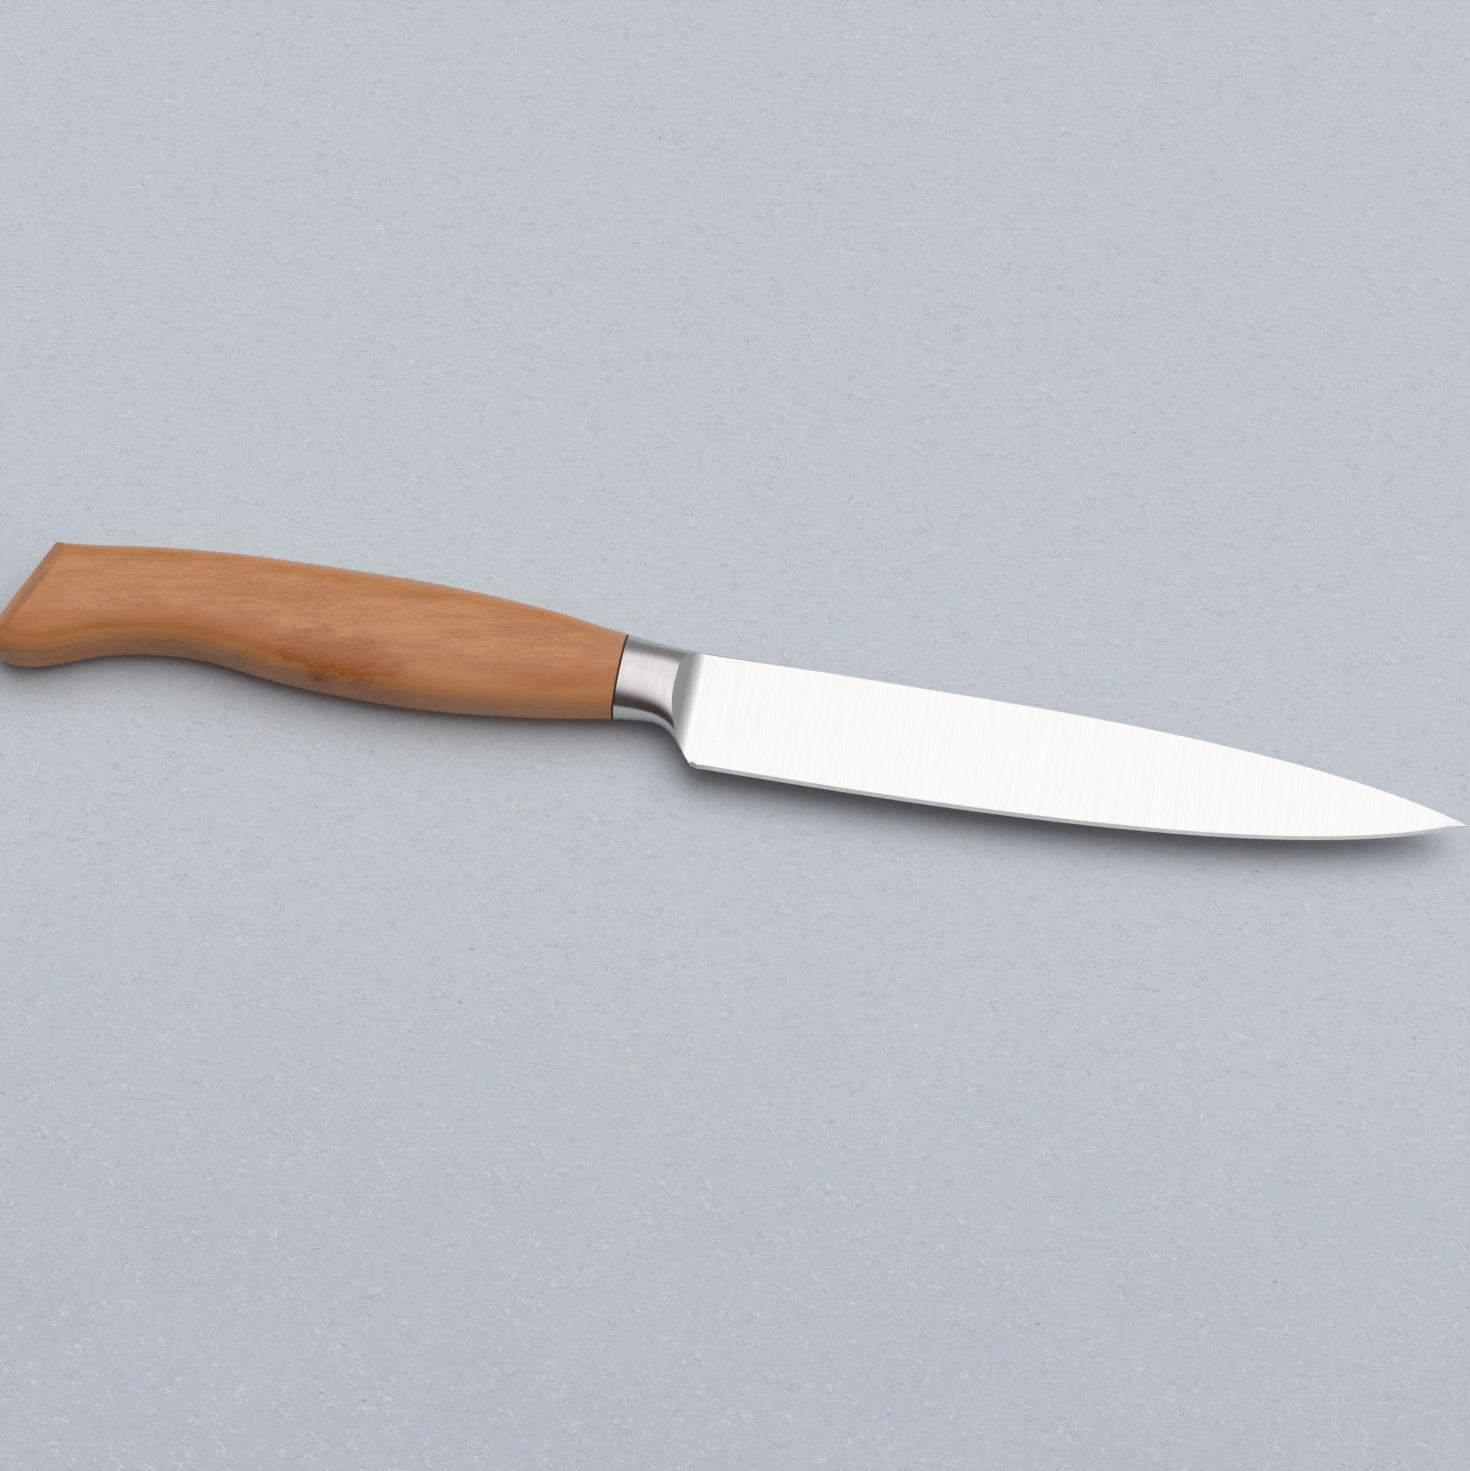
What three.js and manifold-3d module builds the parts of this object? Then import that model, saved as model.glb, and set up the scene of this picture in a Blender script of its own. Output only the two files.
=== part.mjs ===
// A kitchen utility knife: a flat-ground steel blade with a stick tang, a steel bolster slotted
// over the blade's root, a thin fibre spacer, and a one-piece wooden handle bonded to the tang.
// Units are millimetres. The knife lies on its side: +X to the tip, +Y to the spine, +Z up.
// The origin is on the table, under the middle of the grip.

import * as THREE from "three";
import { mergeVertices } from "three/addons/utils/BufferGeometryUtils.js";
import Module from "manifold-3d";

const wasm = await Module();
wasm.setup();

// Clearances
const FIT_GAP = 0.1; // between a piece and the slot or mortise that takes it
const GLUE_WALL = 0.6; // room for epoxy all round the tang
const GLUE_END = 3; // room for epoxy behind the tang's end

// Blade
const BLADE_LENGTH = 130; // heel to tip
const BLADE_HEIGHT = 21.8; // spine to edge at the heel
const SPINE_ABOVE_TANG = 6.9; // spine over the tang's middle line
const SPINE_STRAIGHT = 48; // heel to where the spine starts to fall
const SPINE_BEND = 104; // heel to where the spine's line meets its tangent at the tip
const TIP_DROP = 8.6; // tip under the line of the spine
const EDGE_LEAD = 40; // pull of the straight edge at the heel
const TIP_LEAD = 30; // pull of the rising edge at the tip
const TIP_EDGE_ANGLE = 26; // degrees, edge against the spine at the tip
const STOCK_THICKNESS = 2; // steel strip that the blade and tang are cut from
const SPINE_THICKNESS = 1.8; // ground spine at the heel
const FAR_THICKNESS = 1.15; // ground plane over the tip, on the line of the spine
const EDGE_THICKNESS = 0.34; // behind the sharpened bevel
const BEVEL_HEIGHT = 0.7; // sharpened bevel
const HEEL_ANGLE = 53; // degrees, heel cut against the edge
const CHOIL_RADIUS = 6.4; // hollow between the bolster's underside and the heel cut
const CHOIL_DEPTH = 7.25; // bolster's underside, under the tang's middle line, where the hollow starts

// Tang
const TANG_ROOT_HEIGHT = 8;
const TANG_END_HEIGHT = 6;
const TANG_KEYS = 3; // pairs of round notches that the epoxy locks into
const TANG_KEY_RADIUS = 0.9;
const WOOD_BEHIND_MORTISE = 12; // solid wood between the mortise and the butt

// Bolster and spacer
const SPACER_THICKNESS = 0.35;
const BOLSTER_LENGTH = 13.2; // spacer to where the ramp runs out on the blade
const BOLSTER_FRONT_THICKNESS = 4.9; // thickness it would have there without the ramp
const BOLSTER_FRONT_SQUARE = 4.5; // how square its section is there, where 2 is an ellipse
const RAMP_ANGLE = 53; // degrees, ramp against the blade
const RAMP_FILLET = 3.5; // radius where the ramp runs into the blade
const ROOT_DEPTH = 2.6; // blade's root inside the bolster's slot
const HEEL_AHEAD = 1.55; // heel in front of the ramp's end

// Handle
const JOINT_HEIGHT = 15.4; // section where wood, spacer and bolster meet
const JOINT_FLAT = 1; // half the flat on each side, at the joint
const HANDLE_LENGTH = 101.5; // joint to butt, along the tang's middle line
const HANDLE_THICKNESS = 12; // the same from joint to butt
const SIDE_FLAT = 3.5; // half the flat on each side of the grip
const FULL_FLAT_FROM = 14; // joint to where the flat reaches that width
const JOINT_BACK_SLOPE = 0.12;
const CREST_FROM_JOINT = 38.2; // highest point of the back
const CREST_HEIGHT = 11.2;
const BUTT_TOP_HEIGHT = 6.9;
const BUTT_TOP_SLOPE = -0.166;
const JOINT_BELLY_SLOPE = 0.175;
const BELLY_FROM_JOINT = 39; // deepest point of the belly
const BELLY_DEPTH = 12.15;
const RECESS_FROM_BUTT = 30.5; // hollow for the small finger
const RECESS_DEPTH = 9.5;
const RECESS_FRONT = 12.5; // hollow's run towards the belly
const RECESS_FRONT_DEPTH = 11.1;
const RECESS_FRONT_SLOPE = -0.123;
const RECESS_REAR = 13.5; // hollow's run towards the hook
const RECESS_REAR_DEPTH = 11.6;
const RECESS_REAR_SLOPE = 0.334;
const HOOK_FROM_BUTT = 5.4; // lowest point of the hooked butt
const HOOK_DEPTH = 16.45;
const HOOK_ROUND = 3.4; // height of the hook's rounded corner
const BUTT_SLANT = 20.5; // degrees, butt face against square
const SLANT_FROM_JOINT = 45; // where sections start to lean towards the butt's slant
const BUTT_ROUND = 1.5; // rounded edge of the butt face, along the sides
const BUTT_CORNER = 0.6; // the same at back and belly, where the corner is crisper
const GRIP_FROM_JOINT = 50; // joint to the origin

// Smoothness of the curved pieces
const CORNER_STEPS = 8; // per quarter of a section
const BODY_STATIONS = 34;
const HOOK_STATIONS = 8;
const ROUND_STATIONS = 6;
const BOLSTER_STATIONS = 14;
const EDGE_STATIONS = 40;
const FILLET_STATIONS = 8;

// Places worked out from the sizes, with X = 0 at the wood's front face and Z = 0 mid-way
const rampEndX = SPACER_THICKNESS + BOLSTER_LENGTH;
const heelX = rampEndX + HEEL_AHEAD;
const tipX = heelX + BLADE_LENGTH;
const rootX = rampEndX - ROOT_DEPTH;
const heelY = SPINE_ABOVE_TANG - BLADE_HEIGHT;
const tipY = SPINE_ABOVE_TANG - TIP_DROP;
const mortiseDepth = HANDLE_LENGTH - WOOD_BEHIND_MORTISE;
const tangLength = mortiseDepth - GLUE_END;

const radians = THREE.MathUtils.degToRad;

// Closed solids as manifolds, and back as plain geometry
function solid(geometry) {
  const bare = geometry.clone();
  bare.deleteAttribute("normal");
  bare.deleteAttribute("uv");
  const merged = mergeVertices(bare, 1e-5);
  const vertProperties = new Float32Array(merged.attributes.position.array);
  const triVerts = new Uint32Array(merged.index.array);
  return new wasm.Manifold(new wasm.Mesh({ numProp: 3, vertProperties, triVerts }));
}

function geometryOf(manifold) {
  const mesh = manifold.getMesh();
  const geometry = new THREE.BufferGeometry();
  geometry.setAttribute("position", new THREE.BufferAttribute(new Float32Array(mesh.vertProperties), 3));
  geometry.setIndex(new THREE.BufferAttribute(new Uint32Array(mesh.triVerts), 1));
  const faceted = geometry.toNonIndexed();
  faceted.computeVertexNormals();
  return faceted;
}

// Skin through rings of points, listed from low X to high X, each running from +Y over +Z, capped
function loft(rings) {
  const count = rings[0].length;
  const points = rings.flat();
  const faces = [];
  for (let j = 0; j + 1 < rings.length; j++) {
    for (let i = 0; i < count; i++) {
      const next = (i + 1) % count;
      const a = j * count + i;
      const b = j * count + next;
      faces.push(a, b, b + count, a, b + count, a + count);
    }
  }
  const ends = [[0, true], [(rings.length - 1) * count, false]];
  for (const [start, low] of ends) {
    const middle = new THREE.Vector3();
    for (let i = 0; i < count; i++) middle.addScaledVector(points[start + i], 1 / count);
    points.push(middle);
    for (let i = 0; i < count; i++) {
      const here = start + i;
      const next = start + ((i + 1) % count);
      faces.push(points.length - 1, low ? next : here, low ? here : next);
    }
  }
  const geometry = new THREE.BufferGeometry().setFromPoints(points);
  geometry.setIndex(faces);
  return geometry;
}

function box(x0, x1, y0, y1, thickness) {
  const geometry = new THREE.BoxGeometry(x1 - x0, y1 - y0, thickness);
  geometry.translate((x0 + x1) / 2, (y0 + y1) / 2, 0);
  return solid(geometry);
}

function plate(shape, thickness, steps) {
  const geometry = new THREE.ExtrudeGeometry(shape, {
    depth: thickness,
    bevelEnabled: false,
    curveSegments: steps,
  });
  geometry.translate(0, 0, -thickness / 2);
  return solid(geometry);
}

// Height of a smooth outline through knots of [distance, height, slope]
function outlineHeight(knots, at) {
  const last = knots.length - 2;
  let k = 0;
  while (k < last && at > knots[k + 1][0]) k++;
  const [x0, y0, m0] = knots[k];
  const [x1, y1, m1] = knots[k + 1];
  const h = x1 - x0;
  const t = (at - x0) / h;
  const rise = t * t * (3 - 2 * t);
  return y0 + (y1 - y0) * rise + h * m0 * t * (1 - t) ** 2 - h * m1 * t * t * (1 - t);
}

// One section: flat sides, and quarter ellipses over the top and under the bottom.
// lean is how far X moves with each millimetre of Y. With square over 2, the ellipses fill out.
function sectionRing(x, lean, top, bottom, halfThickness, flat, square = 2) {
  const middle = (top + bottom) / 2;
  const flatTop = middle + flat;
  const flatBottom = middle - flat;
  const ring = [];
  const add = (y, z) => ring.push(new THREE.Vector3(x + lean * y, y, z));
  const cos = (turn) => Math.max(Math.cos(turn), 0) ** (2 / square);
  const sin = (turn) => Math.sin(turn) ** (2 / square);
  for (let k = 0; k <= CORNER_STEPS; k++) {
    const turn = (k / CORNER_STEPS) * Math.PI / 2;
    add(flatTop + (top - flatTop) * cos(turn), halfThickness * sin(turn));
  }
  for (let k = 0; k <= CORNER_STEPS; k++) {
    const turn = (k / CORNER_STEPS) * Math.PI / 2;
    add(flatBottom + (bottom - flatBottom) * sin(turn), halfThickness * cos(turn));
  }
  for (let k = 1; k <= CORNER_STEPS; k++) {
    const turn = (k / CORNER_STEPS) * Math.PI / 2;
    add(flatBottom + (bottom - flatBottom) * cos(turn), -halfThickness * sin(turn));
  }
  for (let k = 0; k < CORNER_STEPS; k++) {
    const turn = (k / CORNER_STEPS) * Math.PI / 2;
    add(flatTop + (top - flatTop) * sin(turn), -halfThickness * cos(turn));
  }
  return ring;
}

// Handle: back and belly outlines, measured back from the joint
const hookAt = HANDLE_LENGTH - HOOK_FROM_BUTT;
const recessAt = HANDLE_LENGTH - RECESS_FROM_BUTT;
const backKnots = [
  [0, JOINT_HEIGHT / 2, JOINT_BACK_SLOPE],
  [CREST_FROM_JOINT, CREST_HEIGHT, 0],
  [HANDLE_LENGTH, BUTT_TOP_HEIGHT, BUTT_TOP_SLOPE],
];
const bellyKnots = [
  [0, JOINT_HEIGHT / 2, JOINT_BELLY_SLOPE],
  [BELLY_FROM_JOINT, BELLY_DEPTH, 0],
  [recessAt - RECESS_FRONT, RECESS_FRONT_DEPTH, RECESS_FRONT_SLOPE],
  [recessAt, RECESS_DEPTH, 0],
  [recessAt + RECESS_REAR, RECESS_REAR_DEPTH, RECESS_REAR_SLOPE],
  [hookAt, HOOK_DEPTH, 0],
];

function bellyDepth(back) {
  if (back <= hookAt) return outlineHeight(bellyKnots, back);
  const across = Math.min((back - hookAt) / (HOOK_FROM_BUTT + FIT_GAP), 1);
  return HOOK_DEPTH - HOOK_ROUND * (1 - Math.sqrt(1 - across * across));
}

// How far an edge of this radius draws in, this far from the butt face
function edgeInset(left, radius) {
  const past = Math.max(radius - left, 0);
  return radius - Math.sqrt(radius * radius - past * past);
}

// Section of the handle at a distance back from the joint
function handleRing(back) {
  const left = Math.max(HANDLE_LENGTH - back, 0);
  const halfThickness = HANDLE_THICKNESS / 2 - edgeInset(left, BUTT_ROUND);
  const inset = edgeInset(left, BUTT_CORNER);
  const flatShare = THREE.MathUtils.smoothstep(back, 0, FULL_FLAT_FROM);
  const flat = THREE.MathUtils.lerp(JOINT_FLAT, SIDE_FLAT, flatShare);
  const leanShare = THREE.MathUtils.clamp((back - SLANT_FROM_JOINT) / (HANDLE_LENGTH - SLANT_FROM_JOINT), 0, 1);
  const lean = Math.tan(radians(BUTT_SLANT)) * leanShare;
  const top = outlineHeight(backKnots, back) - inset;
  const bottom = inset - bellyDepth(back);
  return sectionRing(-back, lean, top, bottom, halfThickness, flat);
}

function tangHalfHeight(x) {
  const share = THREE.MathUtils.clamp(-x / tangLength, 0, 1);
  return THREE.MathUtils.lerp(TANG_ROOT_HEIGHT, TANG_END_HEIGHT, share) / 2;
}

// Flat bar that follows the tang from backX to frontX, wider and thicker by grow all round
function tangBar(backX, frontX, grow) {
  const shape = new THREE.Shape();
  shape.moveTo(backX, -tangHalfHeight(backX) - grow);
  shape.lineTo(0, -tangHalfHeight(0) - grow);
  shape.lineTo(frontX, -tangHalfHeight(0) - grow);
  shape.lineTo(frontX, tangHalfHeight(0) + grow);
  shape.lineTo(0, tangHalfHeight(0) + grow);
  shape.lineTo(backX, tangHalfHeight(backX) + grow);
  shape.closePath();
  return plate(shape, STOCK_THICKNESS + 2 * grow, 1);
}

// Stick tang with its glue keys, or with grow the room it takes up in the epoxy
function tang(grow) {
  let body = tangBar(-tangLength - grow, rootX + 1, grow);
  const radius = TANG_KEY_RADIUS - grow;
  for (let k = 1; k <= TANG_KEYS; k++) {
    const x = (-tangLength * k) / (TANG_KEYS + 1);
    for (const side of [-1, 1]) {
      const notch = new THREE.CylinderGeometry(radius, radius, 2 * STOCK_THICKNESS, 16);
      notch.rotateX(Math.PI / 2);
      notch.translate(x, side * (tangHalfHeight(x) + grow), 0);
      body = body.subtract(solid(notch));
    }
  }
  return body;
}

function makeHandle() {
  const rings = [];
  for (let k = ROUND_STATIONS; k >= 1; k--) {
    const turn = (k / ROUND_STATIONS) * Math.PI / 2;
    rings.push(handleRing(HANDLE_LENGTH - BUTT_ROUND * (1 - Math.sin(turn))));
  }
  for (let k = HOOK_STATIONS; k >= 1; k--) {
    const share = Math.sin((k / HOOK_STATIONS) * Math.PI / 2);
    rings.push(handleRing(hookAt + share * (HOOK_FROM_BUTT - BUTT_ROUND)));
  }
  for (let k = BODY_STATIONS; k >= 0; k--) rings.push(handleRing((hookAt * k) / BODY_STATIONS));
  const mortise = tangBar(-mortiseDepth, 1, GLUE_WALL);
  return geometryOf(solid(loft(rings)).subtract(mortise));
}

function makeEpoxy() {
  const fill = tangBar(FIT_GAP - mortiseDepth, 0, GLUE_WALL - FIT_GAP);
  return geometryOf(fill.subtract(tang(FIT_GAP)));
}

// Spacer and bolster share the joint's section, and a slot for the tang
function jointRing(x) {
  return sectionRing(x, 0, JOINT_HEIGHT / 2, -JOINT_HEIGHT / 2, HANDLE_THICKNESS / 2, JOINT_FLAT);
}

function tangSlot(x0, x1) {
  const half = tangHalfHeight(0) + FIT_GAP;
  return box(x0, x1, -half, half, STOCK_THICKNESS + 2 * FIT_GAP);
}

function makeSpacer() {
  const body = solid(loft([jointRing(0), jointRing(SPACER_THICKNESS)]));
  return geometryOf(body.subtract(tangSlot(-1, SPACER_THICKNESS + 1)));
}

// Bolster's outline from the joint's height, levelling out at endX
function easedY(jointY, levelY, x, endX) {
  const left = THREE.MathUtils.clamp((endX - x) / (endX - SPACER_THICKNESS), 0, 1);
  return levelY + (jointY - levelY) * left * left;
}

// Underside of the bolster: nearly level, then the choil's arc, then the straight heel cut
const heelSlope = Math.tan(radians(HEEL_ANGLE));
const cornerX = heelX - (-CHOIL_DEPTH - heelY) / heelSlope;
const choilRun = CHOIL_RADIUS * Math.tan(radians(HEEL_ANGLE) / 2);
const choilStartX = cornerX - choilRun;
const choilEndX = cornerX + choilRun * Math.cos(radians(HEEL_ANGLE));

function undersideY(x) {
  if (x <= choilStartX) return easedY(-JOINT_HEIGHT / 2, -CHOIL_DEPTH, x, choilStartX);
  if (x >= choilEndX) return -CHOIL_DEPTH - (x - cornerX) * heelSlope;
  return -CHOIL_DEPTH - CHOIL_RADIUS + Math.sqrt(CHOIL_RADIUS ** 2 - (x - choilStartX) ** 2);
}

// Edge curve from the heel to the tip, and the spine's fall to the tip
const tipEdge = radians(TIP_EDGE_ANGLE);
const edgeCurve = new THREE.CubicBezierCurve(
  new THREE.Vector2(heelX, heelY),
  new THREE.Vector2(heelX + EDGE_LEAD, heelY),
  new THREE.Vector2(tipX - TIP_LEAD * Math.cos(tipEdge), tipY - TIP_LEAD * Math.sin(tipEdge)),
  new THREE.Vector2(tipX, tipY),
);

// Height of the ramp over the blade's flank
function rampHeight(x) {
  const run = rampEndX - x;
  if (run <= 0) return 0;
  const filletRun = RAMP_FILLET * Math.sin(radians(RAMP_ANGLE));
  if (run <= filletRun) return RAMP_FILLET - Math.sqrt(RAMP_FILLET ** 2 - run * run);
  const filletRise = RAMP_FILLET * (1 - Math.cos(radians(RAMP_ANGLE)));
  return filletRise + (run - filletRun) * Math.tan(radians(RAMP_ANGLE));
}

// What the grinding takes off one side: everything over the ramp, the flank and the edge bevel
function grindRing(x, edgeY) {
  const over = HANDLE_THICKNESS;
  const past = 2 * BEVEL_HEIGHT;
  const topY = SPINE_ABOVE_TANG + past;
  const share = THREE.MathUtils.clamp((x - heelX) / BLADE_LENGTH, 0, 1);
  const spineHalf = THREE.MathUtils.lerp(SPINE_THICKNESS, FAR_THICKNESS, share) / 2;
  const shoulderY = edgeY + BEVEL_HEIGHT;
  const edgeHalf = EDGE_THICKNESS / 2;
  const flank = (spineHalf - edgeHalf) / (SPINE_ABOVE_TANG - shoulderY);
  const lift = rampHeight(x);
  const low = edgeHalf - (edgeHalf / BEVEL_HEIGHT) * (BEVEL_HEIGHT + past);
  return [
    new THREE.Vector3(x, edgeY - past, lift + low),
    new THREE.Vector3(x, shoulderY, lift + edgeHalf),
    new THREE.Vector3(x, topY, lift + spineHalf + flank * past),
    new THREE.Vector3(x, topY, lift + over),
    new THREE.Vector3(x, edgeY - past, lift + over),
  ];
}

function grinding() {
  const rings = [];
  const steepRun = RAMP_FILLET + HANDLE_THICKNESS / 2 / Math.tan(radians(RAMP_ANGLE));
  rings.push(grindRing(rampEndX - steepRun, heelY));
  for (let k = FILLET_STATIONS; k >= 0; k--) {
    const turn = (k / FILLET_STATIONS) * radians(RAMP_ANGLE);
    rings.push(grindRing(rampEndX - RAMP_FILLET * Math.sin(turn), heelY));
  }
  for (let k = 0; k <= EDGE_STATIONS; k++) {
    const point = edgeCurve.getPoint(k / EDGE_STATIONS);
    rings.push(grindRing(point.x, point.y));
  }
  rings.push(grindRing(tipX + 1, tipY + Math.tan(tipEdge)));
  const upper = solid(loft(rings));
  return [upper, upper.mirror([0, 0, 1])];
}

function makeBlade(grindings) {
  const spare = 2 * EDGE_THICKNESS;
  const shape = new THREE.Shape();
  shape.moveTo(rootX, SPINE_ABOVE_TANG);
  shape.lineTo(rootX, undersideY(rootX));
  const steps = 8;
  for (let k = 1; k <= steps; k++) {
    const x = THREE.MathUtils.lerp(rootX, heelX + spare / heelSlope, k / steps);
    shape.lineTo(x, undersideY(x));
  }
  shape.bezierCurveTo(
    edgeCurve.v1.x, edgeCurve.v1.y - spare,
    edgeCurve.v2.x, edgeCurve.v2.y - spare,
    tipX, tipY - spare,
  );
  shape.lineTo(tipX, tipY);
  shape.quadraticCurveTo(heelX + SPINE_BEND, SPINE_ABOVE_TANG, heelX + SPINE_STRAIGHT, SPINE_ABOVE_TANG);
  shape.closePath();
  let body = plate(shape, STOCK_THICKNESS, EDGE_STATIONS).add(tang(0));
  for (const ground of grindings) body = body.subtract(ground);
  return geometryOf(body);
}

function makeBolster(grindings) {
  const rings = [];
  const endX = heelX;
  for (let k = 0; k <= BOLSTER_STATIONS; k++) {
    const x = THREE.MathUtils.lerp(SPACER_THICKNESS, endX, k / BOLSTER_STATIONS);
    const share = (x - SPACER_THICKNESS) / BOLSTER_LENGTH;
    const top = easedY(JOINT_HEIGHT / 2, SPINE_ABOVE_TANG, x, rootX);
    const half = THREE.MathUtils.lerp(HANDLE_THICKNESS, BOLSTER_FRONT_THICKNESS, share) / 2;
    const square = THREE.MathUtils.lerp(2, BOLSTER_FRONT_SQUARE, share);
    rings.push(sectionRing(x, 0, top, undersideY(x), half, JOINT_FLAT, square));
  }
  let body = solid(loft(rings));
  for (const ground of grindings) body = body.subtract(ground);
  const rootSlot = box(
    rootX - FIT_GAP, endX + 1, heelY - 1, JOINT_HEIGHT, STOCK_THICKNESS + 2 * FIT_GAP,
  );
  body = body.subtract(rootSlot).subtract(tangSlot(-1, rootX));
  return geometryOf(body);
}

function piece(name, geometry, finish) {
  const mesh = new THREE.Mesh(geometry, new THREE.MeshStandardMaterial(finish));
  mesh.name = name;
  return mesh;
}

const grindings = grinding();
const satinSteel = { color: 0xe2e2e1, metalness: 1, roughness: 0.28 };
const brushedSteel = { color: 0xcfcecc, metalness: 1, roughness: 0.34 };
const darkFibre = { color: 0x2b2019, metalness: 0, roughness: 0.75 };
const oiledWood = { color: 0xb9835a, metalness: 0, roughness: 0.5 };
const amberEpoxy = { color: 0xc9b27c, metalness: 0, roughness: 0.35 };

const assembly = new THREE.Group();
assembly.add(piece("blade", makeBlade(grindings), satinSteel));
assembly.add(piece("bolster", makeBolster(grindings), brushedSteel));
assembly.add(piece("spacer", makeSpacer(), darkFibre));
assembly.add(piece("handle", makeHandle(), oiledWood));
assembly.add(piece("tang_epoxy", makeEpoxy(), amberEpoxy));
assembly.position.set(GRIP_FROM_JOINT, 0, HANDLE_THICKNESS / 2);

const knife = new THREE.Group();
knife.add(assembly);

export default knife;
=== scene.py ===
# %% [markdown]
# A kitchen knife lies on its side on a pale table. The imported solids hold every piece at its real
# size. This lesson reads those sizes back, skins each piece with a fine surface, and gives wood,
# steel and fibre a finish. Everything is in metres: +X to the tip, +Y to the spine, +Z up.

# %% Load the frame
import math

import bmesh
import bpy
import numpy as np
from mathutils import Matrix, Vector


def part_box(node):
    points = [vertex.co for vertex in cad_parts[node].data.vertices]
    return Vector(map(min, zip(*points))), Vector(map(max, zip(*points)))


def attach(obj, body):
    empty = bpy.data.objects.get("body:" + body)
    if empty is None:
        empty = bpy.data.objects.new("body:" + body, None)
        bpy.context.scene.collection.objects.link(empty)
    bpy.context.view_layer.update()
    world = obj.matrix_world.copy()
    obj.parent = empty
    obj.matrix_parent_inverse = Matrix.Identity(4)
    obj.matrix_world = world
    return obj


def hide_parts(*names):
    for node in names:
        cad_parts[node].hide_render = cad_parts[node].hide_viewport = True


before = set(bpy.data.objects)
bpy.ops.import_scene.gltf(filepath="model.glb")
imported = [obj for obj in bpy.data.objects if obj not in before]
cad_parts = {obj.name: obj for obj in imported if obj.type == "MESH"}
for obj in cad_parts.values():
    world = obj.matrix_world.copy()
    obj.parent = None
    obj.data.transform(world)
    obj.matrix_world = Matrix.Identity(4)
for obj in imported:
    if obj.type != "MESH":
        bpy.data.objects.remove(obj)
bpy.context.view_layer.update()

mm = 0.001

# %% [markdown]
# The knife is the same on both sides of its mid-plane, so most sizes can be read from where the
# solids meet that plane, or from a slice across the knife. Reading them here, in place of typing
# them again, keeps the skin on the solid if the solid ever changes.


# %% Read sizes from the solids
def solid_points(node):
    """Corners of a solid, each one once."""
    corners = np.array([v.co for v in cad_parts[node].data.vertices])
    return np.unique(np.round(corners, 8), axis=0)


def slice_points(node, x):
    """Where a plane across the knife cuts the edges of a solid, as rows of (y, z)."""
    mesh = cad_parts[node].data
    corners = np.array([v.co for v in mesh.vertices])
    ends = corners[np.array([e.vertices[:] for e in mesh.edges])]
    before = ends[:, 0, 0] - x
    after = ends[:, 1, 0] - x
    cut = before * after < 0
    share = (before[cut] / (before[cut] - after[cut]))[:, None]
    return (ends[cut, 0] + share * (ends[cut, 1] - ends[cut, 0]))[:, 1:]


def smooth_line(points, steps=8):
    """A finer line on a smooth curve through the points."""
    points = np.asarray(points, float)
    padded = np.vstack([2 * points[0] - points[1], points, 2 * points[-1] - points[-2]])
    line = []
    for a, b, c, d in zip(padded, padded[1:], padded[2:], padded[3:]):
        for t in np.arange(steps) / steps:
            bend = (2 * a - 5 * b + 4 * c - d) * t * t + (3 * b - a - 3 * c + d) * t ** 3
            line.append(b + 0.5 * ((c - a) * t + bend))
    return np.array(line + [points[-1]])


wood_low, wood_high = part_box("handle")
joint_x = wood_high.x
middle_z = (wood_low.z + wood_high.z) / 2
half_thickness = (wood_high.z - wood_low.z) / 2
collar_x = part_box("spacer")[1].x
joint_half_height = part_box("spacer")[1].y
blade_points = solid_points("blade")
heel = blade_points[np.argmin(blade_points[:, 1])]
tip = blade_points[np.argmax(blade_points[:, 0])]
print(f"joint at x {joint_x:.4f}, handle {2 * half_thickness:.4f} thick")
print(f"heel {heel.round(4)}, tip {tip.round(4)}")

# %% [markdown]
# Every piece here is a skin over a row of rings, so one helper turns a grid of points into faces.
# Blender could also loft curves, but a grid made in code has its points where the shape turns
# fastest, and its edges can be told to stay sharp.


# %% Helpers for skins
SAME_PLACE = 1e-7
BELLY_POWER = 2 / 2.35  # of sine and cosine: 1 makes an ellipse, and less is fuller


def grid_faces(rows, columns, start=0, closed=False):
    """Quads between the rows of a grid of points, joined round if closed."""
    faces = []
    for j in range(rows - 1):
        for i in range(columns if closed else columns - 1):
            a = start + j * columns + i
            b = start + j * columns + (i + 1) % columns
            faces.append((a, b, b + columns, a + columns))
    return faces


def ring_faces(rings):
    """Faces of a row of closed rings, with the first and the last ring filled in."""
    around = len(rings[0])
    count = len(rings)
    ends = [tuple(range(around)), tuple(range((count - 1) * around, count * around))]
    return grid_faces(count, around, closed=True) + ends


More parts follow.
